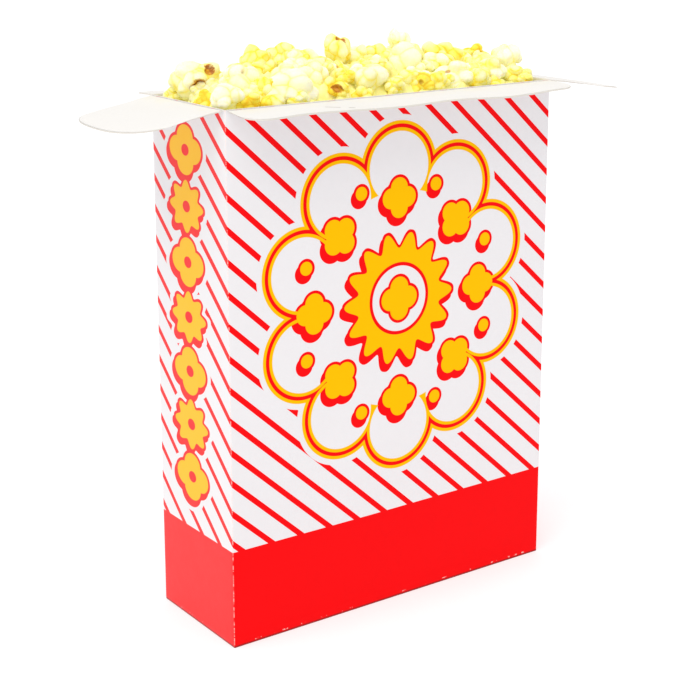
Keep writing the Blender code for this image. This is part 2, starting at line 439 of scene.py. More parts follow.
def printedBoard(name, axis, sign, start, art, constants):
    # The varnished outside of one panel. across is measured from the panel's middle, to the right
    # as seen from outside, and start is where the panel's middle lies along the unrolled girth.
    finish = Finish(name, constants)
    place = finish.place()
    parts = finish.parts(place)
    across = parts[axis] * sign
    up = parts[2]
    half = (box["width"], box["depth"])[axis] / 2
    halo, artRed, artYellow = art(finish, across, up)
    stripes = stripeMask(finish, across + start, up) * (1 - halo)
    band = up.below(box["band"])
    red = stripes.most(band).most(artRed)
    mottle = finish.noise(place, wearAndFootShade["mottle"], 3)
    cloudy = finish.noise(place, wearAndFootShade["cloud"], 2)
    white = finish.shade(ink["white"], mottle * 0.03 + cloudy * 0.03 + 0.97)
    redInk = finish.shade(ink["red"], mottle * 0.05 + cloudy * 0.04 + 0.955)
    colour = finish.mix(red, white, redInk)
    colour = finish.mix(artYellow, colour, ink["yellow"])
    # Cracked ink along the folds and scuffs round the foot, then a dark line of painted shade along the
    # foot
    edge = half - abs(across)
    grain = finish.noise(finish.flat(0.0, up), wearAndFootShade["crackScale"], 3, 0.7)
    crack = edge.below(wearAndFootShade["crackWidth"], wearAndFootShade["crackWidth"]) * grain.above(wearAndFootShade["crackShare"], 0.10)
    grain = finish.noise(place, wearAndFootShade["scuffScale"], 3, 0.65)
    line = abs(up - wearAndFootShade["scuffHeight"]).below(wearAndFootShade["scuffWidth"], wearAndFootShade["scuffWidth"])
    worn = crack.most(line * grain.above(wearAndFootShade["scuffShare"], 0.06))
    # painted shade: the ink darkens along the foot, where the base edge is in shade
    foot = up.below(wearAndFootShade["footHeight"], wearAndFootShade["footSoft"])
    colour = finish.mix(foot * wearAndFootShade["footDepth"], colour, ink["foot"])
    colour = finish.mix(worn * wearAndFootShade["bare"], colour, ink["pale"])
    finish.feed("Base Color", colour)
    finish.feed("Roughness", mottle * 0.10 + worn * 0.30 + constants["Roughness"] - 0.05)
    relief = finish.noise(place, wearAndFootShade["relief"], 3)
    finish.bump(relief + cloudy * 6 - worn * wearAndFootShade["bare"], wearAndFootShade["bump"])
    return finish.material


boardColours = {
    "inner": (0.775, 0.765, 0.735),
    "grease": (0.80, 0.74, 0.54),
    "cut": (0.72, 0.69, 0.63),
    "under": (0.78, 0.76, 0.75),
    "slit": (0.30, 0.26, 0.22),
}
# The locking slit cut into the front strip: a slanted line with an uncut bridge in it
slit = {
    "from": -0.0462, "length": 0.0114, "out": 0.0107, "slope": 0.46, "width": 0.0010,
    "bridge": 0.0074, "bridgeWidth": 0.0032, "depth": 0.75,
}
bareGrain = {
    "fibres": 900, "cloud": 60, "spots": 210, "bump": 0.00004,
    "greaseReach": 0.0045, "greaseFade": 0.0120, "greaseShare": 0.52, "greaseDepth": 0.55,
}


def bareBoard(name, locking=False):
    # The unprinted inner face: faint fibres, and butter soaked in near the mouth
    finish = Finish(name, {"Roughness": 0.7, "Specular IOR Level": 0.25})
    place = finish.place()
    x, y, up = finish.parts(place)
    out = (abs(x) - box["width"] / 2).most(abs(y) - box["depth"] / 2)
    fibres = finish.noise(place, bareGrain["fibres"], 4, 0.6)
    cloudy = finish.noise(place, bareGrain["cloud"], 3)
    spots = finish.noise(place, bareGrain["spots"], 2)
    near = out.below(bareGrain["greaseReach"], bareGrain["greaseFade"])
    grease = near * (cloudy * 0.6 + spots * 0.4).above(bareGrain["greaseShare"], 0.16)
    colour = finish.shade(boardColours["inner"], fibres * 0.05 + cloudy * 0.03 + 0.955)
    colour = finish.mix(grease * bareGrain["greaseDepth"], colour, boardColours["grease"])
    if locking:
        along = x - slit["from"]
        line = abs(out - slit["out"] - along * slit["slope"]).below(slit["width"] / 2, 0.0002)
        ends = along.above(0.0, 0.0004) * along.below(slit["length"], 0.0004)
        cut = line * ends * abs(along - slit["bridge"]).above(slit["bridgeWidth"] / 2, 0.0004)
        colour = finish.mix(cut * slit["depth"], colour, boardColours["slit"])
    finish.feed("Base Color", colour)
    finish.feed("Roughness", 0.72 - grease * 0.25)
    finish.bump(fibres, bareGrain["bump"])
    return finish.material


def plainBoard(name, colour, scale):
    # Cut edges and undersides: fibre grain over a plain stock colour
    finish = Finish(name, {"Roughness": 0.8, "Specular IOR Level": 0.2})
    place = finish.place()
    grain = finish.noise(place, scale, 4, 0.65)
    cloudy = finish.noise(place, 45, 2)
    finish.feed("Base Color", finish.shade(colour, grain * 0.14 + cloudy * 0.06 + 0.89))
    finish.feed("Roughness", grain * 0.2 + 0.62)
    finish.bump(grain, 0.00005)
    return finish.material


skin = {"acrossCells": 76, "depthCells": 24, "foldCells": 4, "footRows": 6, "wallRows": 92}


def cartonSkin():
    # The box's outer skin: a rounded-rectangle floor grid, and walls whose rows ride up its
    # border. A square's border maps to the rounded one: near a corner a place keeps the larger
    # of its two offsets as its radius.
    halfWidth, halfDepth = box["width"] / 2, box["depth"] / 2
    fold, height, lipHeight = box["fold"], box["height"], box["lipHeight"]

    def lines(half, cells):
        inner = np.linspace(-(half - fold), half - fold, cells + 1)
        ends = np.linspace(half - fold, half, skin["foldCells"] + 1)[1:]
        return np.concatenate([-ends[::-1], inner, ends])

    xs, ys = lines(halfWidth, skin["acrossCells"]), lines(halfDepth, skin["depthCells"])
    border = [(x, ys[0]) for x in xs] + [(xs[-1], y) for y in ys[1:]]
    border += [(x, ys[-1]) for x in xs[-2::-1]] + [(xs[0], y) for y in ys[-2:0:-1]]
    border = np.array(border)

    def rounded(flat, inset):
        core = np.array([halfWidth - fold, halfDepth - fold])
        over = np.clip(np.abs(flat) - core, 0, None)
        length = np.maximum(np.linalg.norm(over, axis=1), 1e-12)
        over *= (over.max(axis=1) / length)[:, None]
        scaled = over * (1 - inset / fold)
        return np.sign(flat) * (np.minimum(np.abs(flat), core) + scaled)

    turn = np.linspace(0, math.pi / 2, skin["footRows"])
    footRows = [(fold * (1 - math.sin(a)), fold * (1 - math.cos(a))) for a in turn]
    wallRows = [(0.0, z) for z in np.linspace(fold, height - lipHeight, skin["wallRows"])[1:]]
    lipRows = [(-box["lip"] * share**2, height - lipHeight * (1 - share)) for share in (0.4, 0.7, 1.0)]
    rows = footRows + wallRows + lipRows
    walls = [np.column_stack([rounded(border, inset), np.full(len(border), z)]) for inset, z in rows]
    walls = np.concatenate(walls)
    gridX, gridY = np.meshgrid(xs, ys)
    ground = rounded(np.column_stack([gridX.ravel(), gridY.ravel()]), fold)
    ground = np.column_stack([ground, np.zeros(len(ground))])
    points = np.concatenate([walls, ground])
    wallFaces = gridFaces(len(rows), len(border), wrapColumns=True)
    groundFaces = gridFaces(len(ys), len(xs)) + len(walls)
    # The wide panels bulge, and every panel is very slightly uneven
    x, y, z = points.T
    swell = np.sin(np.pi * np.clip(z / height, 0, 1))
    along = np.cos(np.pi * x / box["width"])
    across = np.cos(np.pi * y / box["depth"]).clip(0, 1)
    rng = np.random.default_rng(5)
    uneven = waves(points, rng, 0.06)
    points[:, 1] += (y / halfDepth) * along * swell * (box["bow"] + uneven * box["ripple"] * 2)
    points[:, 0] += (x / halfWidth) * across * swell * uneven * box["ripple"] * 2
    return points, wallFaces, groundFaces


def makeCarton():
    points, wallFaces, groundFaces = cartonSkin()
    shared = {"Roughness": 0.48}
    wide = {**shared, "Specular IOR Level": 0.03}
    # painted sheen: the narrow panels get a glossier varnish than the wide ones, a lit copy of the same
    # board that makes them look brighter
    narrow = {**shared, "Specular IOR Level": 0.32, "Roughness": 0.40}
    width, depth = box["width"], box["depth"]
    materials = [
        printedBoard("printFront", 0, 1, width / 2, medallionPrint, wide),
        printedBoard("printRight", 1, 1, width + depth / 2, columnPrint, narrow),
        printedBoard("printBack", 0, -1, width + depth + width / 2, medallionPrint, wide),
        printedBoard("printLeft", 1, -1, -depth / 2, columnPrint, narrow),
        plainBoard("baseBoard", boardColours["under"], 500),
        bareBoard("innerBoard"),
        plainBoard("cutBoard", boardColours["cut"], 1500),
    ]
    middle = points[wallFaces].mean(axis=1)
    fromX = np.abs(middle[:, 0]) - width / 2
    fromY = np.abs(middle[:, 1]) - depth / 2
    sideways = fromX > fromY
    slots = np.where(sideways, np.where(middle[:, 0] > 0, 1, 3), np.where(middle[:, 1] > 0, 2, 0))
    slots = np.concatenate([slots, np.full(len(groundFaces), 4)])
    carton = newPiece("cartonShell", points, [wallFaces, groundFaces], materials, slots, closed=False)
    shape = bmesh.new()
    shape.from_mesh(carton.data)
    bmesh.ops.remove_doubles(shape, verts=shape.verts, dist=0.000002)
    bmesh.ops.recalc_face_normals(shape, faces=shape.faces)
    shape.faces.ensure_lookup_table()
    if min(shape.faces, key=lambda face: face.calc_center_median().z).normal.z > 0:
        bmesh.ops.reverse_faces(shape, faces=shape.faces)
    shape.to_mesh(carton.data)
    shape.free()
    wall = carton.modifiers.new("board", "SOLIDIFY")
    wall.thickness = box["board"]
    wall.offset = -1
    wall.use_even_offset = True
    wall.material_offset = 5  # past the printed boards and the base, to the bare ones
    wall.material_offset_rim = 6
    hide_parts("carton")
    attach(carton, "box")


# The mouth flaps. Their outlines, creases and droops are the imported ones'.
flapRules = {
    "inset": 0.0003,
    "straight": 0.58,
    "roundness": 2.4,
    "tongueRelief": 0.0010,
    "curl": 0.0015,
    "corner": 0.009,
    "stripRelief": 0.0010,
    "wave": 0.0004,
    "waves": 2.5,
    "trim": 0.0001,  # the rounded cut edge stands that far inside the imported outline
    "cutBulge": 0.00006,  # how far that edge swells
    "tongueGrid": (73, 40),  # points along the crease and out from it
    "stripGrid": (181, 16),
    "uneven": ((0.045, 0.00022), (0.014, 0.00004)),  # pitch and height
    "level": 0.010,  # the unevenness grows to its full height that far from the crease
    "score": (0.0016, 0.0005, 0.00012),  # place, width and depth of the pressed line
}
flaps = {
    "left": {"out": (-1, 0), "reach": 0.043, "droop": 7.0, "tongue": True, "seed": 21},
    "right": {"out": (1, 0), "reach": 0.058, "droop": 7.0, "tongue": True, "seed": 22},
    "front": {"out": (0, -1), "reach": 0.020, "droop": 5.0, "tongue": False, "seed": 23},
    "back": {"out": (0, 1), "reach": 0.020, "droop": 5.0, "tongue": False, "seed": 24},
}


def flapReach(across, spec):
    # A tongue's outline is straight sides plus a superellipse, a strip's is level with
    # quarter-round ends
    rules, reach = flapRules, spec["reach"]
    if spec["tongue"]:
        rounded = (1 - np.abs(across) ** rules["roundness"]).clip(0) ** (1 / rules["roundness"])
        return reach * (rules["straight"] + (1 - rules["straight"]) * rounded)
    corner = rules["corner"]
    short = (corner - (1 - np.abs(across)) * (box["width"] / 2 - rules["stripRelief"])).clip(0, corner)
    return reach - corner + np.sqrt(corner**2 - short**2)


def closedSheet(middle, normals, outs, thickness, bulges):
    # A sheet with two faces and a rounded edge: the edge rows swing from one face round to the
    # other, out by the bulge of the grid's row. middle, normals and outs are grids; outs point
    # outwards at the border.
    rows, columns = middle.shape[:2]
    half = thickness / 2
    top = (middle + normals * half).reshape(-1, 3)
    bottom = (middle - normals * half).reshape(-1, 3)
    ring = borderRing(rows, columns)
    flatMiddle, flatNormals, flatOuts = (grid.reshape(-1, 3)[ring] for grid in (middle, normals, outs))
    edgeRows = []
    for angle in np.radians((40, 90, 140)):
        swell = flatOuts * (bulges[ring // columns] * math.sin(angle))[:, None]
        edgeRows.append(flatMiddle + flatNormals * half * math.cos(angle) + swell)
    points = np.concatenate([top, bottom] + edgeRows)
    count = rows * columns
    starts = 2 * count + np.arange(len(edgeRows)) * len(ring)
    chain = [ring] + [start + np.arange(len(ring)) for start in starts] + [ring + count]
    edge = [ringFaces(upper, lower) for upper, lower in zip(chain, chain[1:])]
    faces = gridFaces(rows, columns)
    return points, faces, faces[:, ::-1] + count, np.concatenate(edge)


def makeFlap(name, spec, materials):
    # Rows run out from the crease, columns run along it and crowd towards its ends
    rules, tongue = flapRules, spec["tongue"]
    columns, rows = rules["tongueGrid" if tongue else "stripGrid"]
    across = np.sin(np.linspace(-1, 1, columns) * math.pi / 2)
    share = np.linspace(0, 1, rows) ** 0.9
    u, s = np.meshgrid(across, share)
    reach = flapReach(u, spec) - rules["trim"]
    half = box["depth"] / 2 - rules["tongueRelief"]
    if not tongue:
        half = box["width"] / 2 - rules["stripRelief"]
    half -= rules["trim"]
    out = reach * s - rules["inset"]
    out[0] = 0
    rise = -rules["curl"] * s**2
    if not tongue:
        rise = rules["wave"] * s * np.sin(rules["waves"] * math.pi * u)
    rng = np.random.default_rng(spec["seed"])
    flat = np.column_stack([(u * half).ravel(), out.ravel()])
    uneven = sum(waves(flat, rng, pitch).reshape(u.shape) * height for pitch, height in rules["uneven"])
    rise = rise + uneven * np.clip(out / rules["level"], 0, 1)
    scorePlace, scoreWidth, scoreDepth = rules["score"]
    rise = rise - scoreDepth * np.exp(-(((out - scorePlace) / scoreWidth) ** 2))
    outward = np.array([*spec["out"], 0.0])
    up = np.array([0.0, 0.0, 1.0])
    droop = math.radians(spec["droop"])
    forward = outward * math.cos(droop) - up * math.sin(droop)
    normal = outward * math.sin(droop) + up * math.cos(droop)
    side = np.cross(up, outward)
    wall = abs(outward[0]) * box["width"] / 2 + abs(outward[1]) * box["depth"] / 2
    start = wall + box["gap"] + rules["inset"]
    crease = outward * start + up * (box["height"] - box["board"] / 2)
    middle = crease + side * (u * half)[..., None] + forward * out[..., None] + normal * rise[..., None]
    overU, overS = np.gradient(middle, axis=1), np.gradient(middle, axis=0)
    normals = np.cross(overS, overU)
    normals /= np.maximum(np.linalg.norm(normals, axis=2, keepdims=True), 1e-12)
    normals *= np.sign((normals @ normal).mean())
    outs = np.zeros_like(middle)
    outs[0] -= forward
    outs[-1] += forward
    outs[:, 0] -= side
    outs[:, -1] += side
    outs /= np.maximum(np.linalg.norm(outs, axis=2, keepdims=True), 1e-12)
    bulges = np.full(rows, rules["cutBulge"])
    bulges[0] = box["board"] / 2  # the crease is half round
    points, top, bottom, edge = closedSheet(middle, normals, outs, box["board"], bulges)
    slots = np.concatenate([np.zeros(len(top)), np.ones(len(bottom)), np.full(len(edge), 2)])
    return newPiece(name, points, [top, bottom, edge], materials, slots)


def makeFlaps():
    top = bareBoard("flapTop")
    lockingTop = bareBoard("lockingTop", locking=True)
    under = plainBoard("flapUnder", boardColours["under"], 500)
    cut = plainBoard("flapCut", boardColours["cut"], 1500)
    for side, spec in flaps.items():
        inner = lockingTop if side == "front" else top
        flap = makeFlap(f"{side}Flap", spec, [inner, under, cut])
        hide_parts(f"flap_{side}")
        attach(flap, f"{side}_flap")


# The heap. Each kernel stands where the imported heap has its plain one: x, y, z of its middle from
# the rim's front left corner, its width and height, all in mm, and its look.
heap = {
    "placed": (
        (13, 43, 6, 27, 19, "cream"), (8, 11, 3, 16, 13, "snow"), (23, 24, 7, 19, 17, "cream"),
        (41, 42, 14, 16, 14, "butter"), (55, 43, 14, 16, 15, "butter"), (17, 9, 2, 11, 9, "gold"),
        (29, 15, 5, 12, 13, "butter"), (39, 14, 4, 30, 18, "snow"), (58, 35, 12, 20, 16, "cream"),
        (79, 34, 17, 15, 16, "butter"), (92, 38, 12, 14, 14, "cream"), (101, 36, 12, 15, 15, "butter"),
        (70, 22, 8, 12, 13, "butter"), (61, 10, 3, 14, 12, "gold"), (79, 14, 5, 22, 18, "snow"),
        (91, 9, 2, 12, 10, "butter"), (110, 27, 9, 22, 21, "cream"), (108, 29, 20, 11, 12, "snow"),
        (106, 11, 2, 18, 12, "gold"), (135, 30, 10, 20, 17, "butter"), (128, 13, 4, 25, 14, "snow"),
        (157, 33, 9, 18, 13, "gold"), (149, 14, 4, 17, 15, "cream"), (167, 20, 8, 17, 18, "snow"),
        (164, 10, 2, 18, 11, "butter"), (7, 52, 0, 12, 10, "butter"), (8, 28, 0, 12, 11, "gold"),
        (20, 54, 3, 14, 12, "cream"),
    ),
    "seed": 11,
    "widths": (0.014, 0.019),
    "jitter": 0.0025,
    "clearance": 0.0105,
    # Layers of small kernels: lift above the core, columns, rows and share of the box's depth
    "layers": ((0.001, 11, 4, 0.80), (0.005, 9, 2, 0.42)),
    "looks": ("snow", "cream", "cream", "cream", "butter", "butter"),
    "flatness": (0.72, 0.92),
    "shoulder": -0.006,
    "hump": 0.015,
    "roundness": 1.6,
    "coreInset": 0.0006,
    "headroom": 0.0001,
    "fine": (64, 96),  # rings and segments of a placed kernel
    "middling": (44, 64),
}
# Small kernels tucked between the others, in a row that wanders over the hump. Spread and depth
# are shares of the box.
tucked = {
    "count": 72,
    "seed": 303,
    "looks": ("cream", "butter", "butter"),
    "spread": 0.92,
    "depth": (-0.42, 0.26),
    "width": (0.011, 0.015),
    "flatness": 0.85,
    "lift": (0.0, 0.003),
    "grid": (28, 40),
}
# Hollows of the placed kernels: to the right and up as seen from the front left, size, and how
# much hull shows in it
hollows = {
    0: (
        (0.34, -0.22, 0.22, 1.0), (0.16, -0.40, 0.20, 1.0), (0.52, 0.02, 0.14, 1.0),
        (0.70, 0.45, 0.18, 1.0), (0.60, 0.64, 0.14, 1.0),
    ),
    2: ((0.1, 0.5, 0.12, 0.3),),
    9: ((0.10, 0.70, 0.26, 1.0), (0.34, 0.62, 0.22, 1.0)),
    12: ((0.1, 0.35, 0.20, 0.5),),
    13: ((0.1, 0.0, 0.34, 1.0), (0.4, -0.2, 0.24, 0.8)),
    14: ((0.45, 0.38, 0.15, 0.25),),
    18: ((0.0, -0.1, 0.16, 0.5),),
    19: ((-0.3, 0.0, 0.16, 0.8), (0.3, 0.3, 0.14, 0.0)),
    20: ((-0.5, 0.12, 0.12, 0.6), (0.12, 0.18, 0.12, 0.5)),
    21: ((-0.15, -0.1, 0.2, 0.2), (0.5, 0.1, 0.2, 0.2)),
    22: ((-0.5, -0.5, 0.26, 0.9),),
    24: ((0.0, -0.2, 0.2, 0.3),),
}
facing = {
    "toward": np.array([-0.60, -0.76, 0.25]),
    "right": np.array([0.785, -0.62, 0.0]),
    "up": np.array([0.15, 0.19, 0.97]),
}
toneButter = {"snow": 0.0, "cream": 0.10, "butter": 0.38, "gold": 0.60}
# The balls of a kernel, in a ball of radius 1
balls = {
    "count": (6, 10),
    "nudge": 0.16,
    "radius": (0.34, 0.56),
    "reach": (0.86, 1.04),
    "heart": 0.52,
    "heartNudge": 0.04,
    "shrink": 0.97,
}
# Smaller lobes that bud from a ball; all but count and outward are shares of its radius or theirs
buds = {
    "count": (0, 3),
    "outward": 0.9,  # how far they keep to the outer side
    "size": (0.52, 0.82),
    "reach": 1.06,
    "sunk": (0.55, 0.95),
    "bend": (0.0, 0.45),
}
popped = {
    "start": 1.4,
    "steps": 15,
    "soft": 0.055,  # how softly the lobes run together
    "least": 0.12,
    # painted shade: how narrow the deeper yellow in the creases is
    "crease": 0.05,
    "low": (0.92, 0.45),  # where the painted shade of the dents begins and how wide it fades, as shares of the reach
    "hull": (1.22, 0.16),  # the hull's edge and fade, as shares of its hollow
    "lumps": ((0.42, 0.018), (0.15, 0.005)),  # pitch and height
    "lean": (1.3, 0.05),
}


def coreTop(x, y):
    # The core's hump: a power curve across the mouth times a flatter one along it
    across = 1 - np.abs(2 * y / box["depth"]) ** heap["roundness"]
    along = 1 - np.abs(2 * x / box["width"]) ** (4 * heap["roundness"])
    return box["height"] + heap["shoulder"] + heap["hump"] * across * along


def kernelLobes(rng):
    # Balls inside a ball of radius 1: their directions follow a golden spiral, each nudged
    count = int(rng.integers(*balls["count"]))
    step = np.arange(count) + 0.5
    height = 1 - 2 * step / count
    turn = math.pi * (3 - math.sqrt(5)) * step + rng.uniform(0, 2 * math.pi)
    ring = np.sqrt(1 - height**2)
    ways = np.stack([ring * np.cos(turn), ring * np.sin(turn), height], axis=1)
    ways += rng.normal(0, balls["nudge"], ways.shape)
    ways /= np.linalg.norm(ways, axis=1, keepdims=True)
    radii = rng.uniform(*balls["radius"], count)
    middles = ways * (rng.uniform(*balls["reach"], count) - radii)[:, None]
    heart = rng.normal(0, balls["heartNudge"], (1, 3))
    return np.vstack([middles, heart]), np.append(radii, balls["heart"])


def kernelReach(ways, lobes):
    # Farthest place where a ray from the middle leaves one of the balls
    middles, radii = lobes
    along = ways @ middles.T
    inside = radii**2 - (np.sum(middles**2, axis=1) - along**2)
    exits = np.where(inside > 0, along + np.sqrt(np.maximum(inside, 0)), 0)
    return exits.max(axis=1)


def ballGrid(rings, segments, rng):
    # Directions over a ball, ring by ring and turned at random, with a pole at either end
    tilt = (np.arange(1, rings) / rings * math.pi)[:, None]
    turn = (np.arange(segments) / segments * 2 * math.pi)[None, :]
    parts = np.sin(tilt) * np.cos(turn), np.sin(tilt) * np.sin(turn), np.cos(tilt)
    rows = np.stack(np.broadcast_arrays(*parts), axis=-1)
    ways = np.concatenate([rows.reshape(-1, 3), [[0, 0, 1.0], [0, 0, -1.0]]])
    spin = np.linalg.qr(rng.normal(size=(3, 3)))[0]
    count = (rings - 1) * segments
    around = np.arange(segments)
    nextOne = (around + 1) % segments
    last = count - segments
    caps = np.concatenate([
        np.column_stack([np.full(segments, count), around, nextOne]),
        np.column_stack([np.full(segments, count + 1), last + nextOne, last + around]),
    ])
    return ways @ spin.T, gridFaces(rings - 1, segments, wrapColumns=True), caps


def sausages(rng, lobes):
    # The balls, some with smaller lobes half sunk in their outer side: short, bent-over,
    # round-ended sausages
    middles, radii = lobes
    starts, spines, sizes = [middles], [np.zeros_like(middles)], [radii * balls["shrink"]]
    for middle, radius in zip(middles[:-1], radii[:-1]):
        count = int(rng.integers(*buds["count"]))
        outward = middle / max(np.linalg.norm(middle), 1e-6)
        ways = rng.normal(size=(count, 3)) + outward * buds["outward"]
        ways /= np.linalg.norm(ways, axis=1, keepdims=True)
        size = radius * rng.uniform(*buds["size"], count)
        reach = radius * buds["reach"] - size * rng.uniform(*buds["sunk"], count)
        bends = np.cross(ways, rng.normal(size=(count, 3)))
        starts.append(middle + ways * reach[:, None])
        spines.append(bends * (radius * rng.uniform(*buds["bend"], count))[:, None])
        sizes.append(size)
    return np.concatenate(starts), np.concatenate(spines), np.concatenate(sizes)


def sausageDistances(places, shapes):
    # Each place's distance from each sausage: from the nearest point of its spine, less its radius
    starts, spines, sizes = shapes
    lengths = np.maximum(np.sum(spines**2, axis=1), 1e-9)
    ahead = places @ spines.T - np.sum(starts * spines, axis=1)
    share = np.clip(ahead / lengths, 0, 1)
    square = np.sum(places**2, axis=1)[:, None] - 2 * places @ starts.T + np.sum(starts**2, axis=1)
    square += share * (share * lengths - 2 * ahead)
    return np.sqrt(np.maximum(square, 0)) - sizes


def popKernel(ways, lobes, holes, rng):
    # A ray walks in from outside along each direction until the smooth union of the sausages,
    # less the hollows, is reached. Returns the places, and the shares of painted shade in the creases
    # and low in the dents, and of hull.
    shapes = sausages(rng, lobes)
    soft = popped["soft"]
    centres = np.array([hole[0] for hole in holes]).reshape(-1, 3)
    holeSizes = np.array([hole[1] for hole in holes])
    reach = np.full(len(ways), popped["start"])
    for _ in range(popped["steps"]):
        places = ways * reach[:, None]
        distances = sausageDistances(places, shapes)
        nearest = distances.min(axis=1)
        gap = nearest - soft * np.log(np.exp((nearest[:, None] - distances) / soft).sum(axis=1))
        if len(holes):
            away = np.linalg.norm(places[:, None] - centres, axis=2) - holeSizes
            gap = np.maximum(gap, -away.min(axis=1))
        reach = np.maximum(reach - gap, popped["least"])
    places = ways * reach[:, None]
    distances = np.sort(sausageDistances(places, shapes), axis=1)
    # painted shade: the creases between lobes, and the parts sunk low in the dents, get a deeper yellow
    crease = np.exp(-(distances[:, 1] - distances[:, 0]) / popped["crease"])
    begin, fade = popped["low"]
    low = np.clip((begin - reach / reach.max()) / fade, 0, 1)
    hull = np.zeros(len(ways))
    edge, fade = popped["hull"]
    for centre, size, share in holes:
        away = np.linalg.norm(places - centre, axis=1)
        hull = np.maximum(hull, share * np.clip((size * edge - away) / (size * fade), 0, 1))
    lumps = sum(waves(places, rng, pitch) * height for pitch, height in popped["lumps"])
    places = places + ways * lumps[:, None]
    pitch, height = popped["lean"]
    lean = np.column_stack([waves(places, rng, pitch) for _ in range(3)]) * height
    return places + lean, np.column_stack([crease, low, hull])


def kernelPlaces():
    # Middle, width, height and look of each kernel: those listed, then staggered, jittered
    # grids over the hump where no other is near
    corner = np.array([-box["width"] / 2, -box["depth"] / 2, box["height"]])
    mm = 0.001
    places = []
    for *spot, width, height, look in heap["placed"]:
        places.append((corner + np.array(spot) * mm, width * mm, height * mm, look))
    rng = np.random.default_rng(heap["seed"])
    looks = np.random.default_rng(heap["seed"] + 1)
    jitter = heap["jitter"]
    for lift, columns, rows, share in heap["layers"]:
        for i, j in np.ndindex(columns, rows):
            stagger = 0.25 if j % 2 else -0.25
            x = ((i + 0.5 + stagger) / columns - 0.5) * box["width"] + rng.uniform(-jitter, jitter)
            y = ((j + 0.5) / rows - 0.5) * box["depth"] * share + rng.uniform(-jitter, jitter)
            middle = np.array([x, y, coreTop(x, y) + lift])
            width = rng.uniform(*heap["widths"])
            height = width * rng.uniform(*heap["flatness"])
            if min(np.linalg.norm(middle - place[0]) for place in places) > heap["clearance"]:
                places.append((middle, width, height, looks.choice(heap["looks"])))
    return places


def intoMouth(points):
    # Moves a kernel sideways until it stands clear of the walls' planes
    clear = np.array([box["width"], box["depth"]]) / 2 - box["board"] - box["gap"]
    low, high = points[:, :2].min(axis=0), points[:, :2].max(axis=0)
    points[:, :2] += np.maximum(-clear - low, 0) - np.maximum(high - clear, 0)
    return points


def makeKernel(index, place, gridSize, ballSeed):
    # One detailed kernel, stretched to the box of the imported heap's plain one
    middle, width, height, look = place
    lobes = kernelLobes(np.random.default_rng(ballSeed))
    rng = np.random.default_rng(1000 + index)
    ways, quads, caps = ballGrid(*gridSize, rng)
    half = np.array([width, (width + height) / 2, height]) / 2
    plain = ways * kernelReach(ways, lobes)[:, None]
    holes = []
    for right, up, size, hull in hollows.get(index, ()):
        forward = math.sqrt(max(1 - right**2 - up**2, 0.0))
        way = facing["right"] * right + facing["up"] * up + facing["toward"] * forward
        way = way / half
        way /= np.linalg.norm(way)
        edge = kernelReach(way[None], lobes)[0]
        holes.append((way * edge * balls["shrink"], size, hull))
    shape, marks = popKernel(ways, lobes, holes, rng)
    low, high = shape.min(axis=0), shape.max(axis=0)
    plainLow, plainHigh = plain.min(axis=0), plain.max(axis=0)
    shape = plainLow + (shape - low) / (high - low) * (plainHigh - plainLow)
    points = intoMouth(shape * half + middle)
    points[:, 2] -= max(points[:, 2].max() - (cadBox[1][2] - heap["headroom"]), 0)
    butter = toneButter[look] + waves(shape, rng, 1.5) * 0.10
    # painted shade: the share low in the dents is added to the butter tone
    corn = np.column_stack([butter + marks[:, 1] * 0.28, marks[:, 0], marks[:, 2]])
    return points, quads, caps, corn


def heapPiece(name, points, faceSets, material, corn):
    # One piece of the heap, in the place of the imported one
    piece = newPiece(name, points, faceSets, [material], corn=corn)
    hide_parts("popcorn")
    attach(piece, "box")


def joinKernels(name, kernels, material):
    # Many kernels as one piece: their points one after the other, with their faces renumbered
    starts = np.cumsum([0] + [len(kernel[0]) for kernel in kernels[:-1]])
    points = np.concatenate([kernel[0] for kernel in kernels])
    quads = np.concatenate([kernel[1] + start for kernel, start in zip(kernels, starts)])
    caps = np.concatenate([kernel[2] + start for kernel, start in zip(kernels, starts)])
    corn = np.concatenate([kernel[3] for kernel in kernels])
    heapPiece(name, points, [quads, caps], material, corn)
    print(name, len(kernels), "kernels,", 2 * len(quads) + len(caps), "triangles")


popColours = {
    "tones": (
        (0.0, (0.93, 0.915, 0.72)),
        (0.28, (0.935, 0.915, 0.56)),
        (0.52, (0.93, 0.87, 0.32)),
        (0.78, (0.92, 0.77, 0.07)),
        (1.0, (0.86, 0.56, 0.02)),
    ),
    "hulls": ((0.40, (0.74, 0.36, 0.02)), (0.56, (0.44, 0.14, 0.008)), (0.74, (0.20, 0.05, 0.006))),
}


def poppedFoam(name):
    # Popped foam: cream to butter by kernel, with painted shade making it deeper yellow in its creases
    # and dents, and hull in its hollows
    constants = {
        "Roughness": 0.55,
        "Specular IOR Level": 0.35,
        "Subsurface Weight": 0.30,
        "Subsurface Radius": (1.0, 0.75, 0.30),
        "Subsurface Scale": 0.0022,
        # painted light: the foam glows faintly in its own colour, standing in for light passing through
        # it
        "Emission Strength": 0.06,
    }
    finish = Finish(name, constants)
    place = finish.place()
    corn = finish.make("ShaderNodeAttribute", {"attribute_name": "corn"}, {}, "Vector")
    butter, crease, hull = finish.parts(corn)
    patches = finish.noise(place, 230, 3, 0.6)
    grain = finish.noise(place, 1500, 3, 0.6)
    # painted shade: the butter channel also carries the dents' shade, and the crease share deepens the
    # tone
    tone = butter + (patches - 0.5) * 0.45 + crease * 0.42 + (grain - 0.5) * 0.05
    colour = finish.ramp(tone, popColours["tones"])
    hullColour = finish.ramp(finish.noise(place, 420, 3), popColours["hulls"])
    colour = finish.mix(hull, colour, hullColour)
    finish.feed("Base Color", colour)
    # painted light: the glow takes the foam's own colour
    finish.feed("Emission Color", colour)
    finish.feed("Roughness", 0.62 - hull * 0.28 + grain * 0.08)
    finish.bump(grain + patches * 1.5, 0.00012, 0.6)
    return finish.material


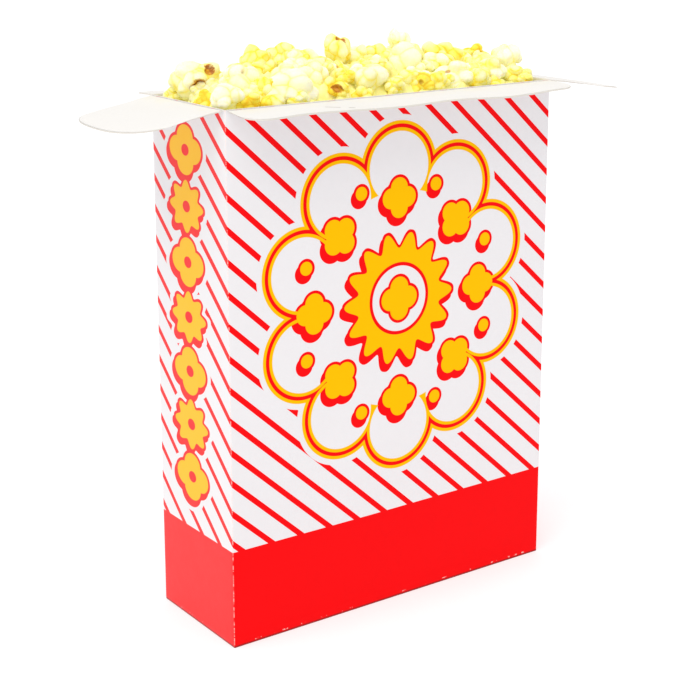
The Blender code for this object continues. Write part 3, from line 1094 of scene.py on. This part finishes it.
core = {
    "grid": (181, 61),
    "seed": 77,
    "sunk": 0.0012,
    "bumps": (0.011, 0.0022),  # pitch and height
    "grit": (0.004, 0.0004),
    "corn": (0.42, 0.2, 0.0),  # butter, crease (painted shade, here over the whole core) and hull
}


def makeCore(material):
    # The block that fills the box: a bumpy humped top on straight sides, closed below
    halfWidth = box["width"] / 2 - box["board"] - heap["coreInset"]
    halfDepth = box["depth"] / 2 - box["board"] - heap["coreInset"]
    columns, rows = core["grid"]
    xs = np.linspace(-halfWidth, halfWidth, columns)
    ys = np.linspace(-halfDepth, halfDepth, rows)
    x, y = np.meshgrid(xs, ys)
    flat = np.column_stack([x.ravel(), y.ravel()])
    rng = np.random.default_rng(core["seed"])
    (bumpPitch, bumpHeight), (gritPitch, gritHeight) = core["bumps"], core["grit"]
    bumps = np.abs(waves(flat, rng, bumpPitch)) * bumpHeight + waves(flat, rng, gritPitch) * gritHeight
    top = coreTop(flat[:, 0], flat[:, 1]) - core["sunk"] + bumps
    low = np.full(len(flat), box["board"] + heap["coreInset"])
    points = np.concatenate([np.column_stack([flat, top]), np.column_stack([flat, low])])
    faces = gridFaces(rows, columns)
    ring = borderRing(rows, columns)
    faceSets = [faces, faces[:, ::-1] + len(flat), ringFaces(ring, ring + len(flat))]
    corn = np.tile(core["corn"], (len(points), 1))
    heapPiece("popcornCore", points, faceSets, material, corn)


def makeHeap():
    foam = poppedFoam("poppedCorn")
    places = kernelPlaces()
    groups = {look: [] for look in toneButter}
    for index, place in enumerate(places):
        gridSize = heap["fine"] if index < len(heap["placed"]) else heap["middling"]
        groups[place[3]].append(makeKernel(index, place, gridSize, index))
    for look, kernels in groups.items():
        joinKernels(f"popcorn{look.capitalize()}", kernels, foam)
    rng = np.random.default_rng(tucked["seed"])
    small = []
    for k in range(tucked["count"]):
        x = ((k + 0.5) / tucked["count"] - 0.5) * box["width"] * tucked["spread"]
        y = rng.uniform(*tucked["depth"]) * box["depth"]
        width = rng.uniform(*tucked["width"])
        middle = np.array([x, y, coreTop(x, y) + rng.uniform(*tucked["lift"])])
        place = (middle, width, width * tucked["flatness"], rng.choice(tucked["looks"]))
        small.append(makeKernel(200 + k, place, tucked["grid"], 500 + k))
    joinKernels("popcornTucked", small, foam)
    makeCore(foam)


studio = {
    "floorSize": 14.0,
    "floorGrey": (0.62, 0.62, 0.62, 1),
    "floorGlow": 0.42,
    "sky": (0.985, 0.97, 1.0, 1),
    "skyStrength": 0.85,
    "sunStrength": 1.5,
    "sunAngle": 50,  # degrees across, for soft shadows
    "sunColour": (1.0, 0.985, 0.93),
    "toward": (-0.42, -0.24, 0.87),  # from the box to the sun
}


def makeStudio():
    # A pale floor that glows a little, so that only a faint contact shadow is left
    floorMesh = bpy.data.meshes.new("floor")
    shape = bmesh.new()
    bmesh.ops.create_grid(shape, x_segments=1, y_segments=1, size=studio["floorSize"])
    shape.to_mesh(floorMesh)
    shape.free()
    constants = {
        "Base Color": studio["floorGrey"],
        "Roughness": 0.9,
        "Specular IOR Level": 0.0,
        "Emission Color": (1, 1, 1, 1),
        "Emission Strength": studio["floorGlow"],
    }
    floorMesh.materials.append(Finish("paleFloor", constants).material)
    addObject("floor", floorMesh)

    world = bpy.data.worlds.new("studio")
    bpy.context.scene.world = world
    world.use_nodes = True
    background = world.node_tree.nodes["Background"]
    background.inputs["Color"].default_value = studio["sky"]
    background.inputs["Strength"].default_value = studio["skyStrength"]

    sun = bpy.data.lights.new("softKey", "SUN")
    sun.energy = studio["sunStrength"]
    sun.angle = math.radians(studio["sunAngle"])
    sun.color = studio["sunColour"]
    key = addObject("softKey", sun)
    x, y, z = studio["toward"]
    key.rotation_euler = (math.acos(z / math.hypot(x, y, z)), 0, math.atan2(y, x) + math.pi / 2)


# Where the photograph was taken from: lens and sensor in mm, angles in degrees
viewpoint = {
    "lens": 80.6,
    "sensor": 36,
    "shift": -0.15,
    "place": (-0.4065, -0.5591, 0.3186),
    "tilt": 77.1,
    "turn": -35.72,
}


def makeCamera():
    lens = bpy.data.cameras.new("camera")
    lens.lens = viewpoint["lens"]
    lens.sensor_width = viewpoint["sensor"]
    lens.shift_y = viewpoint["shift"]
    camera = addObject("camera", lens)
    camera.location = viewpoint["place"]
    camera.rotation_euler = (math.radians(viewpoint["tilt"]), 0, math.radians(viewpoint["turn"]))
    bpy.context.scene.camera = camera


makeCamera()
makeStudio()
makeCarton()
print("carton made")
makeFlaps()
print("flaps made")
makeHeap()
print("heap made")
bpy.context.scene.view_settings.view_transform = "Standard"
